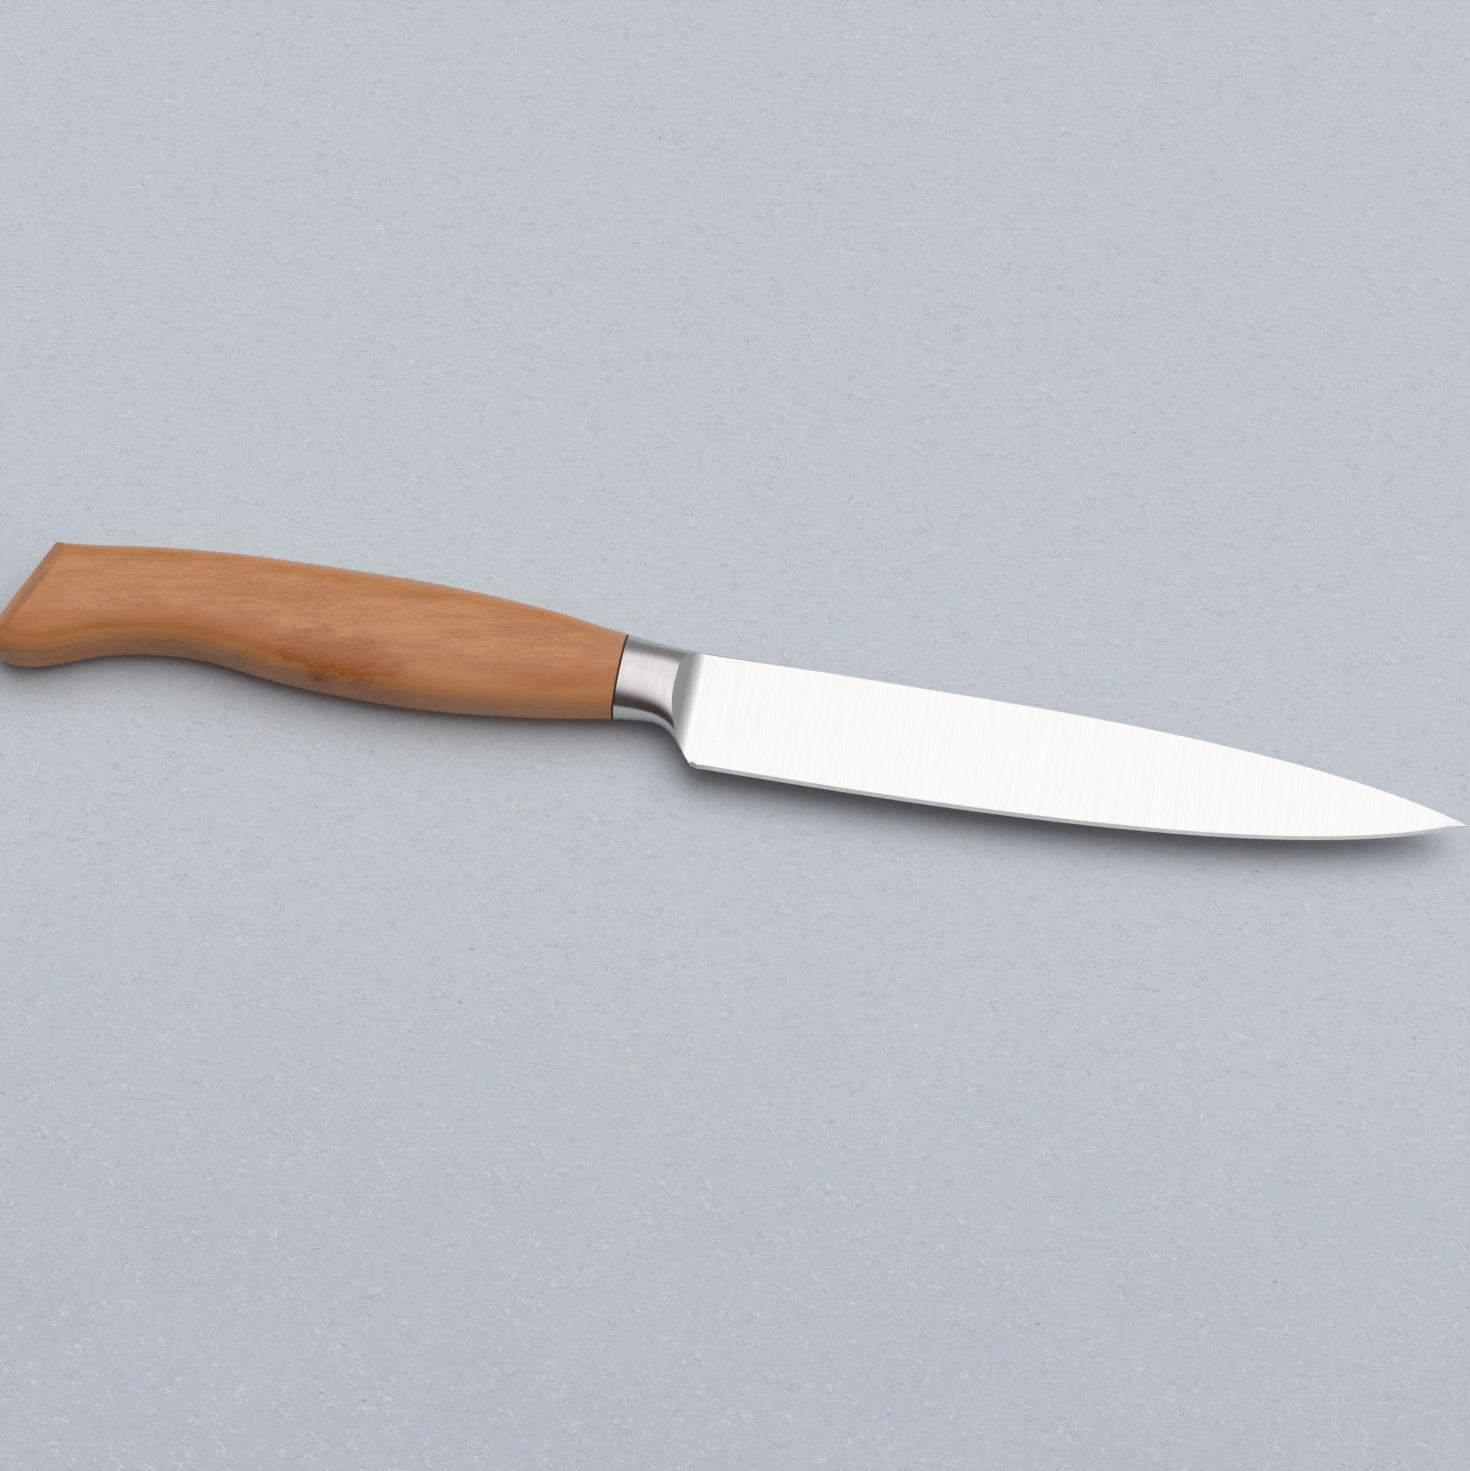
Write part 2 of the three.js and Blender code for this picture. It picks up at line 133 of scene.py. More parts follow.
def add_piece(name, points, faces, nodes, sharp_angle=25, finishes=None):
    """Makes a mesh piece, closes its seams and points its faces out, and ties it to the frame.
    finishes gives the number of each face's material, where a piece has more than one."""
    mesh = bpy.data.meshes.new(name)
    mesh.from_pydata([tuple(p) for p in points], [], faces)
    if finishes is not None:
        mesh.polygons.foreach_set("material_index", finishes)
    work = bmesh.new()
    work.from_mesh(mesh)
    bmesh.ops.remove_doubles(work, verts=work.verts, dist=SAME_PLACE)
    bmesh.ops.dissolve_degenerate(work, dist=SAME_PLACE, edges=work.edges)
    bmesh.ops.recalc_face_normals(work, faces=work.faces)
    for face in work.faces:
        face.smooth = True
    for edge in work.edges:
        edge.smooth = edge.is_manifold and edge.calc_face_angle() < math.radians(sharp_angle)
    open_edges = sum(not edge.is_manifold for edge in work.edges)
    work.to_mesh(mesh)
    work.free()
    piece = bpy.data.objects.new(name, mesh)
    bpy.context.scene.collection.objects.link(piece)
    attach(piece, "root")
    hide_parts(*nodes)
    print(f"{name}: {len(mesh.polygons)} faces, {open_edges} open edges")
    return piece


def eased(share):
    """0 to 1 with a soft start and a soft end."""
    share = np.clip(share, 0, 1)
    return share * share * (3 - 2 * share)


def half_section(top, bottom, half, flat, steps, belly_power=BELLY_POWER):
    """Upper half of a section: a quarter ellipse at the back, a flat, and a fuller belly."""
    middle = (top + bottom) / 2
    turn = np.linspace(0, math.pi / 2, steps)
    belly_turn = np.linspace(0, math.pi / 2, 2 * steps)
    side = np.linspace(1, 0, steps // 2)[1:-1]
    y = np.concatenate([
        middle + flat + (top - middle - flat) * np.cos(turn),
        middle + flat * side,
        middle + (bottom - middle) * np.sin(belly_turn) ** belly_power,
    ])
    belly_z = half * np.maximum(np.cos(belly_turn), 0) ** belly_power
    z = np.concatenate([half * np.sin(turn), np.full(len(side), half), belly_z])
    return y, z


def whole_section(y, z):
    """A half section and its mirror image, as one closed ring."""
    return np.concatenate([y, y[-2:0:-1]]), np.concatenate([z, -z[-2:0:-1]])


# %% [markdown]
# The handle is one block of wood, sawn to an outline and rounded over. Its butt is a slanted flat
# face with a broad bevel. The outline is read from the solid: every corner on the mid-plane lies
# on the back or on the belly. The rings lean over towards the butt, so that the last ring lies
# on the slanted face and the edge there comes out straight.

# %% Outline of the handle
ON_PLANE = 1e-6
FACES_BACK = -0.9  # most that the butt's normal has along the knife
UPRIGHT = 0.01  # most that it has through the knife's thickness
OUTLINE_FROM = 0.6  # of the joint's half height: corners nearer the middle belong to the mortise
SOLID_CORNER = 0.6 * mm
CARRIED_ON = 3 * mm
BUTT_STANDS_OUT = 0.5 * mm

wood_points = solid_points("handle")
on_middle = wood_points[np.abs(wood_points[:, 2] - middle_z) < ON_PLANE]
handle_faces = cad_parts["handle"].data.polygons
butt_face = next(f for f in handle_faces if f.normal.x < FACES_BACK and abs(f.normal.z) < UPRIGHT)
butt_lean = butt_face.normal.y / -butt_face.normal.x
off_butt = (wood_points - np.array(butt_face.center)) @ np.array(butt_face.normal)
butt_corners = wood_points[np.abs(off_butt) < ON_PLANE]
butt_x = np.max(butt_corners[:, 0] - butt_lean * butt_corners[:, 1])
solid_length = joint_x - butt_x
wood_length = solid_length + BUTT_STANDS_OUT


def outline_side(sign):
    """Back (+1) or belly (-1) as a fine line of (distance back from the joint, y), carried straight
    on past the butt, without the butt's rounded corner."""
    side = on_middle[sign * on_middle[:, 1] > OUTLINE_FROM * joint_half_height]
    before_butt = solid_length - (joint_x - side[:, 0] + butt_lean * side[:, 1])
    side = side[before_butt > SOLID_CORNER]
    order = np.argsort(-side[:, 0] + butt_lean * side[:, 1])
    line = smooth_line(np.stack([joint_x - side[order, 0], side[order, 1]], axis=1))
    last_way = line[-1] - line[-4]
    return np.vstack([line, line[-1] + CARRIED_ON * last_way / np.linalg.norm(last_way)])


back_line = outline_side(1)
belly_line = outline_side(-1)


def outline_y(line, back, lean):
    """Where a leaning plane meets the outline."""
    ahead = line[:, 0] + lean * line[:, 1] - back
    return np.interp(0, ahead, line[:, 1])


lean_degrees = math.degrees(math.atan(butt_lean))
print(f"wood {wood_length / mm:.1f} mm long, butt leans {lean_degrees:.1f} degrees")

# %% [markdown]
# A ring of the handle has a flat on each side, a rounded back and a fuller belly. The maker planes
# the sides and rounds the rest by feel, and draws the wood in to a waist where it meets the steel.
# The broad bevel at the butt is a limit on each ring's thickness, so that it runs straight across
# the side, as a plane cut does.

# %% Skin of the handle
SIDE_STEPS = 18
EDGE_STEPS = 5
HANDLE_STATIONS = 120
BEVEL_STATIONS = 14
CORNER_STATIONS = 9
FRONT_CAP = (0.02, 0.7)
BUTT_CAP = (0.95, 0.8, 0.55, 0.3, 0.02)
JOINT_FLAT = 1.2 * mm
GRIP_FLAT = 5 * mm
FLAT_FADES_IN = 14 * mm
GRIP_BELLY_POWER = 2 / 3
GRIP_BELLY_RAISE = 0.42 * mm
BELLY_FADES_IN = 32 * mm
LEAN_STARTS = 45 * mm
EASED_EDGE = 0.08 * mm
WAIST = 0.75 * mm
WAIST_FADES = 12 * mm
BUTT_CORNER = 0.45 * mm
BUTT_BEVEL = 3.6 * mm
BUTT_BEVEL_DEPTH = 2.6 * mm
BUTT_BEVEL_SOFT = 0.15
BUTT_FLAT = 7 * mm
BUTT_FLAT_FROM = 24 * mm
BUTT_TOP_DROP = 0.3 * mm


def round_over(left, radius):
    """How far a rounded edge draws a face in, at a distance left from the end."""
    short = np.clip(1 - left / radius, 0, 1)
    return radius * (1 - np.sqrt(1 - short ** 2))


def bevel_over(left):
    """How far the butt's bevel draws a face in: a soft start, then straight."""
    share = np.clip(1 - left / BUTT_BEVEL, 0, 1)
    soft = BUTT_BEVEL_SOFT
    cut = share ** 2 / (2 * soft) if share < soft else share - soft / 2
    return BUTT_BEVEL_DEPTH * cut / (1 - soft / 2)


def wood_ring(back, inset):
    """One ring of the handle, drawn in all round by inset."""
    lean = butt_lean * np.clip((back - LEAN_STARTS) / (wood_length - LEAN_STARTS), 0, 1)
    left = max(wood_length - back, 0)
    flat = JOINT_FLAT + (GRIP_FLAT - JOINT_FLAT) * eased(back / FLAT_FADES_IN)
    waist = WAIST * (1 - eased(back / WAIST_FADES))
    at_butt = 1 - eased(left / BUTT_FLAT_FROM)
    flat += (BUTT_FLAT - GRIP_FLAT) * at_butt
    half = half_thickness - waist - inset
    corner = round_over(left, BUTT_CORNER) + inset
    top = outline_y(back_line, back, lean) - corner - BUTT_TOP_DROP * at_butt
    grip = eased(back / BELLY_FADES_IN)
    bottom = outline_y(belly_line, back, lean) + corner + GRIP_BELLY_RAISE * grip
    belly_power = BELLY_POWER + (GRIP_BELLY_POWER - BELLY_POWER) * grip
    y, z = half_section(top, bottom, half, flat, SIDE_STEPS, belly_power)
    y, z = whole_section(y, np.minimum(z, half_thickness - bevel_over(left)))
    return np.stack([joint_x - back + lean * y, y, middle_z + z], axis=1)


def shrunk(ring, share):
    """A ring drawn in towards its own middle."""
    return ring.mean(axis=0) + share * (ring - ring.mean(axis=0))


edge_turns = np.linspace(0, math.pi / 2, EDGE_STEPS)[::-1]
rings = []
for turn in edge_turns:
    rings.append(wood_ring(EASED_EDGE * (1 - math.sin(turn)), EASED_EDGE * (1 - math.cos(turn))))
stations = np.linspace(EASED_EDGE, wood_length - BUTT_BEVEL, HANDLE_STATIONS)[1:]
rings += [wood_ring(back, 0) for back in stations]
on_bevel = np.linspace(BUTT_BEVEL, BUTT_CORNER, BEVEL_STATIONS)[1:]
on_corner = BUTT_CORNER * (1 - np.sin(np.linspace(0, math.pi / 2, CORNER_STATIONS)[1:]))
rings += [wood_ring(wood_length - left, 0) for left in np.concatenate([on_bevel, on_corner])]
front_cap = [shrunk(rings[0], share) for share in FRONT_CAP]
butt_cap = [shrunk(rings[-1], share) for share in BUTT_CAP]
rings = front_cap + rings + butt_cap
handle = add_piece("handle_wood", np.vstack(rings), ring_faces(rings), ["handle"])

# %% [markdown]
# A thin washer of dark fibre sits between wood and steel. It has the section of the joint, and it
# stands back a little from both neighbours, so it reads as a fine dark line.

# %% Spacer
SPACER_SET_BACK = 0.1 * mm


def joint_ring(x, inset):
    """The joint's section at one place along the knife."""
    half_height = joint_half_height - inset
    half = half_thickness - WAIST - inset
    y, z = whole_section(*half_section(half_height, -half_height, half, JOINT_FLAT, SIDE_STEPS))
    return np.stack([np.full(len(y), x), y, middle_z + z], axis=1)


washer = [joint_ring(x, SPACER_SET_BACK) for x in (joint_x, collar_x)]
spacer = add_piece("fibre_spacer", np.vstack(washer), ring_faces(washer), ["spacer"])

# %% [markdown]
# The lines of the steel are read from the solids too: slices across collar and blade give the
# spine, the underside and the edge. The blade is ground flat and gets thinner towards its edge. The
# ramp in front of the collar stands on that flank: a fillet, and then a straight slope.

# %% Lines of the steel
RAMP_ANGLE = math.radians(47)
RAMP_FILLET = 4.2 * mm
RAMP_TO_HEEL = 1.55 * mm
RAMP_FOOT = 0.6 * mm
BEVEL_HEIGHT = 0.7 * mm
EDGE_HALF = 0.17 * mm
HEEL_EDGE_EXTRA = 0.1 * mm
HEEL_EDGE_FADES = 5 * mm
TIP_EDGE_THINS = (60 * mm, 105 * mm)
TIP_EDGE_LEFT = 0.3
COLLAR_WAIST_FADES = 9.6 * mm
COLLAR_FRONT_FLAT = 2.8 * mm
EDGE_LIMIT = 0.6  # most that the edge may have of the spine's thickness
BEVEL_LIMIT = 0.3  # most that the bevel may have of the blade's height
LEAST_HEIGHT = 0.001 * mm
COLLAR_SLICES = 14
BLADE_SLICES = 70
INSIDE_COLLAR = 0.01 * mm
INSIDE_TIP = 0.05 * mm
COLLAR_MEASURED = (0.5 * mm, 6 * mm)


def solid_half(node, x):
    """Half the thickness of a solid at one place along the knife."""
    return slice_points(node, x)[:, 1].max() - middle_z


ramp_x = heel[0] - RAMP_TO_HEEL
slice_x = np.concatenate([
    np.linspace(collar_x + INSIDE_COLLAR, ramp_x, COLLAR_SLICES),
    np.linspace(ramp_x, tip[0] - INSIDE_TIP, BLADE_SLICES)[1:],
])
steel_slices = []
for x in slice_x:
    cuts = [slice_points(node, x) for node in ("bolster", "blade")]
    steel_slices.append(np.vstack([cut for cut in cuts if len(cut)]))
spine_line = smooth_line([(x, cut[:, 0].max()) for x, cut in zip(slice_x, steel_slices)])
under_line = smooth_line([(x, cut[:, 0].min()) for x, cut in zip(slice_x, steel_slices)])
spine_half_line = np.array([
    (x, cut[:, 1].max() - middle_z) for x, cut in zip(slice_x, steel_slices) if x > heel[0]
])
collar_near, collar_far = [collar_x + ahead for ahead in COLLAR_MEASURED]
near_half, far_half = [solid_half("bolster", x) for x in (collar_near, collar_far)]
collar_taper = (far_half - near_half) / (collar_far - collar_near)


def top_y(x):
    """Spine of blade and collar."""
    return np.interp(x, spine_line[:, 0], spine_line[:, 1])


def under_y(x):
    """Underside of collar and heel cut, and the cutting edge."""
    return np.interp(x, under_line[:, 0], under_line[:, 1])


def edge_y(x):
    """Cutting edge, carried on level behind the heel."""
    return np.where(x < heel[0], heel[1], under_y(np.maximum(x, heel[0])))


def collar_half(x):
    """Half the collar's thickness, with the waist of the joint running out along it."""
    waist = WAIST * np.clip(1 - (x - collar_x) / COLLAR_WAIST_FADES, 0, 1)
    return near_half + collar_taper * (x - collar_near) - waist


def spine_half(x):
    """Half the thickness of the spine."""
    return np.interp(x, spine_half_line[:, 0], spine_half_line[:, 1])


def edge_half(x):
    """Half the thickness over the bevel: more at the heel, and less where the tip runs out."""
    heel_extra = HEEL_EDGE_EXTRA * (1 - eased((x - heel[0]) / HEEL_EDGE_FADES))
    thin_from, thin_to = TIP_EDGE_THINS
    thinned = 1 - (1 - TIP_EDGE_LEFT) * eased((x - heel[0] - thin_from) / (thin_to - thin_from))
    return np.minimum(EDGE_HALF * thinned + heel_extra, EDGE_LIMIT * spine_half(x))


def bevel_height(x):
    """Height of the sharpened bevel, which shrinks with the blade at the tip."""
    return np.minimum(BEVEL_HEIGHT, BEVEL_LIMIT * (top_y(x) - edge_y(x)))


def flank_half(x, y):
    """Half the thickness of the flat-ground blade."""
    shoulder = edge_y(x) + bevel_height(x)
    share = (y - shoulder) / np.maximum(top_y(x) - shoulder, LEAST_HEIGHT)
    return edge_half(x) + (spine_half(x) - edge_half(x)) * share


def ramp_height(x):
    """Height of the ground ramp over the blade's flank: a fillet, then a straight slope."""
    run = np.maximum(ramp_x + RAMP_FOOT - x, 0)
    fillet_run = RAMP_FILLET * math.sin(RAMP_ANGLE)
    fillet = RAMP_FILLET - np.sqrt(np.maximum(RAMP_FILLET ** 2 - np.minimum(run, fillet_run) ** 2, 0))
    return fillet + np.maximum(run - fillet_run, 0) * math.tan(RAMP_ANGLE)


print(f"collar tapers {2 * near_half / mm:.2f} to {2 * collar_half(ramp_x) / mm:.2f} mm")
print(f"spine at the heel {2 * spine_half(heel[0]) / mm:.2f} mm")

# %% [markdown]
# The bolster is a collar of steel that is ground down in front, in a ramp that runs out on the
# blade. Grinding cuts a plane-like surface through a rounded body, and the two meet in a crisp
# line, the arris. A boolean could make that cut, but it leaves long thin faces that shade badly.
# Here each line along the collar is simply stopped where it meets the ground surface. Halving the
# stretch again and again finds that place.

# %% Arris of the bolster
COLLAR_STEPS = 40
COLLAR_BACK_SHARE = 0.4  # of the rows, for the rounded back
COLLAR_FLAT_SHARE = 0.08  # of the rows, for the flat side
HALVINGS = 50


def collar_point(row_share, x, inset=0.0):
    """Points of the rounded collar, from the top (0) over the side to the underside (1)."""
    top = top_y(x) - inset
    bottom = under_y(x) + inset
    half = collar_half(x) - inset
    middle = (top + bottom) / 2
    belly_from = COLLAR_BACK_SHARE + COLLAR_FLAT_SHARE
    turn = np.clip(row_share / COLLAR_BACK_SHARE, 0, 1) * math.pi / 2
    across = np.clip((row_share - COLLAR_BACK_SHARE) / COLLAR_FLAT_SHARE, 0, 1)
    lower = np.clip((row_share - belly_from) / (1 - belly_from), 0, 1) * math.pi / 2
    along_collar = np.clip((x - collar_x) / (ramp_x - collar_x), 0, 1)
    flat = JOINT_FLAT + (COLLAR_FRONT_FLAT - JOINT_FLAT) * along_collar
    y = middle + flat * (1 - across) + (top - middle - flat) * np.cos(turn)
    y = y + (bottom - middle) * np.sin(lower) ** BELLY_POWER
    z = half * np.minimum(np.sin(turn), np.maximum(np.cos(lower), 0) ** BELLY_POWER)
    return y, z


row_shares = np.linspace(0, 1, 2 * COLLAR_STEPS + 1)
low_x = np.full(len(row_shares), collar_x)
high_x = np.full(len(row_shares), ramp_x)
y_end, z_end = collar_point(row_shares, high_x)
cut_rows = z_end > flank_half(high_x, y_end)
for _ in range(HALVINGS):
    half_way = (low_x + high_x) / 2
    y, z = collar_point(row_shares, half_way)
    over = z > flank_half(half_way, y) + ramp_height(half_way)
    high_x = np.where(over, half_way, high_x)
    low_x = np.where(over, low_x, half_way)
arris_x = np.where(cut_rows, high_x, ramp_x)
arris_ahead = (arris_x.min() - joint_x) / mm
print(f"arris from {arris_ahead:.2f} mm in front of the joint, {cut_rows.sum()} rows cut")

# %% [markdown]
# The collar's lines run from the joint to the arris. The ramp starts from those same points and
# runs on to the blade. Only the upper half is worked out: both steel pieces are mirrored under the
# mid-plane and closed with a strip across each end.

# %% Skin of the bolster
COLLAR_COLUMNS = 36
RAMP_COLUMNS = 22
COLLAR_EASED = 0.08 * mm
COLLAR_SHARP = 20


def both_sides(patch):
    """A grid of points and its mirror image under the mid-plane."""
    upper = patch + np.array([0, 0, middle_z])
    lower = patch * np.array([1, 1, -1]) + np.array([0, 0, middle_z])
    return upper, lower


def mirrored_skin(patches, ends):
    """Points, faces and finishes of a skin. Patches are pairs of a grid over the mid-plane and the
    finishes of its faces, and ends are outlines to be filled in."""
    points = []
    faces = []
    finishes = []
    for grid, grid_finishes in patches:
        for patch in both_sides(grid):
            faces += grid_faces(patch.shape[0], patch.shape[1], sum(len(p) for p in points))
            points.append(patch.reshape(-1, 3))
            finishes += grid_finishes
    for outline in ends:
        faces += grid_faces(2, len(outline), sum(len(p) for p in points))
        points.append(np.vstack(both_sides(outline)))
    finishes += [0] * (len(faces) - len(finishes))
    return np.vstack(points), faces, finishes


collar_columns = []
for turn in edge_turns:
    x = np.full(len(row_shares), collar_x + COLLAR_EASED * (1 - math.sin(turn)))
    y, z = collar_point(row_shares, x, COLLAR_EASED * (1 - math.cos(turn)))
    collar_columns.append(np.stack([x, y, z], axis=1))
start_x = collar_x + COLLAR_EASED
for share in np.linspace(0, 1, COLLAR_COLUMNS)[1:]:
    x = start_x + (arris_x - start_x) * share
    y, z = collar_point(row_shares, x)
    collar_columns.append(np.stack([x, y, z], axis=1))
arris = collar_columns[-1]

first_cut = np.argmax(cut_rows)
last_cut = len(cut_rows) - 1 - np.argmax(cut_rows[::-1])
foot = arris[first_cut - 1:last_cut + 2]
ramp_columns = [foot]
for share in np.linspace(0, 1, RAMP_COLUMNS)[1:]:
    x = foot[:, 0] + (ramp_x - foot[:, 0]) * share
    y = foot[:, 1]
    z = flank_half(x, y) + ramp_height(x)
    z[0], z[-1] = foot[0, 2], foot[-1, 2]
    ramp_columns.append(np.stack([x, y, z], axis=1))

steel_patches = []
for finish, columns in enumerate((collar_columns, ramp_columns)):
    grid = np.stack(columns)
    steel_patches.append((grid, [finish] * ((grid.shape[0] - 1) * (grid.shape[1] - 1))))
front_outline = np.vstack([arris[:first_cut - 1], ramp_columns[-1], arris[last_cut + 2:]])
points, faces, finishes = mirrored_skin(steel_patches, [collar_columns[0], front_outline])
bolster = add_piece("bolster_collar", points, faces, ["bolster"], COLLAR_SHARP, finishes)

# %% [markdown]
# The blade is one half section carried from the ramp to the tip: a slightly crowned spine, a flat
# flank, a bevel and the edge. Behind the heel the bevel gives way to the blunt heel cut. The
# columns crowd together at the heel and at the tip, where the outline turns fastest.

# %% Skin of the blade
SPINE_ROWS = 5
FLANK_ROWS = 44
CROWN_FADES = 25 * mm
CROWN_LEFT = 0.25
SPINE_CORNER = 0.06  # of the half thickness, for the corner between spine and flank
HEEL_CUT_COLUMNS = 14
HEEL_COLUMNS = 5
FLANK_COLUMNS = 110
TIP_COLUMNS = 50
TIP_STRETCH = 12 * mm
TIP_CROWDS = 1.5
TIP_END = 0.002  # of that stretch, where the last column stands
BLADE_SHARP = 8

collar_bow = (top_y(ramp_x) - under_y(ramp_x)) / 2 - COLLAR_FRONT_FLAT
crown_at_ramp = collar_bow / (2 * collar_half(ramp_x) ** 2)
bevel_x = heel[0] - BEVEL_HEIGHT * (heel[0] - ramp_x) / (under_y(ramp_x) - heel[1])


def blade_section(x):
    """Half section of the blade from the middle of the spine to the edge."""
    spine = top_y(x)
    under = under_y(x)
    half = spine_half(max(x, heel[0]))
    crown = crown_at_ramp * (CROWN_LEFT + (1 - CROWN_LEFT) * (1 - eased((x - ramp_x) / CROWN_FADES)))
    across_spine = half * np.linspace(0, 1 - SPINE_CORNER, SPINE_ROWS)
    rows = [(spine - crown * z ** 2, z) for z in across_spine]
    corner = spine - crown * half ** 2
    shoulder = max(edge_y(x) + bevel_height(x), under) if x > bevel_x else under
    flank_top = corner - SPINE_CORNER * half
    for y in np.linspace(flank_top, shoulder, FLANK_ROWS):
        rows.append((y, float(flank_half(x, y) + ramp_height(x))))
    shoulder_half = rows[-1][1]
    at_under = shoulder_half
    if x > bevel_x:
        at_under = float(edge_half(x) * (under - edge_y(x)) / bevel_height(x))
    for share in (1 / 3, 2 / 3, 1):
        y = shoulder + (under - shoulder) * share
        rows.append((y, shoulder_half + (at_under - shoulder_half) * share))
    rows += [(under, at_under / 2), (under, 0)]
    return np.array([(x, y, z) for y, z in rows])


blade_x = np.concatenate([
    np.linspace(ramp_x, bevel_x, HEEL_CUT_COLUMNS)[:-1],
    np.linspace(bevel_x, heel[0], HEEL_COLUMNS)[:-1],
    np.linspace(heel[0], tip[0] - TIP_STRETCH, FLANK_COLUMNS)[:-1],
    tip[0] - TIP_STRETCH * np.linspace(1, TIP_END, TIP_COLUMNS) ** TIP_CROWDS,
])
blade_grid = np.stack([blade_section(x) for x in blade_x])
blade_rows = blade_grid.shape[1] - 1
bevel_rows = range(SPINE_ROWS + FLANK_ROWS - 1, blade_rows)
blade_finishes = []
for x in blade_x[:-1]:
    blade_finishes += [int(row in bevel_rows and x > bevel_x) for row in range(blade_rows)]
points, faces, finishes = mirrored_skin([(blade_grid, blade_finishes)], [blade_grid[0], blade_grid[-1]])
blade = add_piece("ground_blade", points, faces, ["blade"], BLADE_SHARP, finishes)

# %% [markdown]
# A finish is a small network of nodes. A few helpers keep it short to write: one adds a node, sets
# its sockets and links it, and the others stand for a sum, a product, a stretched noise, a soft
# step, a soft-edged zone and a blend of two colours. All patterns are measured in millimetres on
# the piece itself, so they have the same scale on every piece and stay in place when it moves. The
# limits of a soft step are named as a low and a high value, and often a start and an end too.

# %% Helpers for finishes
NOISE_ROUGHNESS = 0.55
NOISE_RANGE = (0.2, 0.8)  # where most of a noise lies


def add_node(tree, kind, inputs=None, **settings):
    """Adds a shader node. An input is a plain value, or the output of another node."""
    made = tree.nodes.new("ShaderNode" + kind)
    for name, value in settings.items():
        setattr(made, name, value)
    for name, value in (inputs or {}).items():
        if isinstance(value, bpy.types.NodeSocket):
            tree.links.new(value, made.inputs[name])
        else:
            made.inputs[name].default_value = value
    return made


def sums(tree, operation, a, b=0.0):
    """A math node's result."""
    return add_node(tree, "Math", {0: a, 1: b}, operation=operation).outputs[0]


def product(tree, *shares):
    """Values multiplied one after the other."""
    result = shares[0]
    for share in shares[1:]:
        result = sums(tree, "MULTIPLY", result, share)
    return result


def either_way(tree, noise, amount):
    """A noise as a change up or down."""
    return product(tree, sums(tree, "SUBTRACT", noise, 0.5), amount)


def vectors(tree, operation, a, b=(0, 0, 0), result="Vector"):
    """A vector math node's result."""
    return add_node(tree, "VectorMath", {0: a, 1: b}, operation=operation).outputs[result]


def in_mm(tree):
    """Place on the piece in millimetres."""
    place = add_node(tree, "TexCoord").outputs["Object"]
    return add_node(tree, "Mapping", {"Vector": place, "Scale": (1 / mm,) * 3}).outputs["Vector"]


def stretched_noise(tree, place, per_mm, detail, shift=0.0, twist=0.0):
    """Soft noise with its own number of marks in a millimetre along each axis."""
    moved = add_node(tree, "Mapping", {"Vector": place, "Scale": per_mm, "Location": (shift,) * 3})
    noise = add_node(tree, "TexNoise", {
        "Vector": moved.outputs["Vector"], "Scale": 1.0, "Detail": detail,
        "Roughness": NOISE_ROUGHNESS, "Distortion": twist,
    })
    return noise.outputs["Fac"]


def soft_step(tree, value, low, high, start=0.0, end=1.0):
    """Eased change from start to end while the value goes from low to high."""
    made = add_node(tree, "MapRange", {
        "Value": value, "From Min": low, "From Max": high, "To Min": start, "To Max": end,
    }, interpolation_type="SMOOTHSTEP")
    return made.outputs["Result"]


def zone(tree, along, limits):
    """A soft-edged region: a soft step from low to high for each (axis, low, high)."""
    return product(tree, *[soft_step(tree, along[axis], low, high) for axis, low, high in limits])


def blend(tree, share, first, second):
    """One colour laid over another."""
    return add_node(tree, "Mix", {0: share, 6: first, 7: second}, data_type="RGBA").outputs[2]


def new_finish(name, piece, first=True):
    """A new material on a piece, with its node tree and its shader."""
    material = bpy.data.materials.new(name)
    material.use_nodes = True
    if first and len(piece.data.materials):
        piece.data.materials.clear()
    piece.data.materials.append(material)
    return material.node_tree, material.node_tree.nodes["Principled BSDF"]


def finish_with(tree, shader, colour, rough, height, depth):
    """Links a pattern to a shader: its colour, its roughness if it has one, and a bump of a depth in
    metres."""
    tree.links.new(colour, shader.inputs["Base Color"])
    if rough is not None:
        tree.links.new(rough, shader.inputs["Roughness"])
    bump = add_node(tree, "Bump", {"Height": height, "Strength": 1.0, "Distance": depth})
    tree.links.new(bump.outputs["Normal"], shader.inputs["Normal"])


# %% [markdown]
# The handle is a fine-pored fruit wood with an oiled shine. Its fibres run a few degrees off the
# knife's length, as the block was sawn. Four scales of tone are laid over each other: clouds,
# patches, streaks, and fibres about a third of a millimetre thick. Pale flecks and dark pores lie
# on top. A noise is given by its marks in a millimetre along and across the fibres, by its detail
# and by a shift that makes it unlike the others.

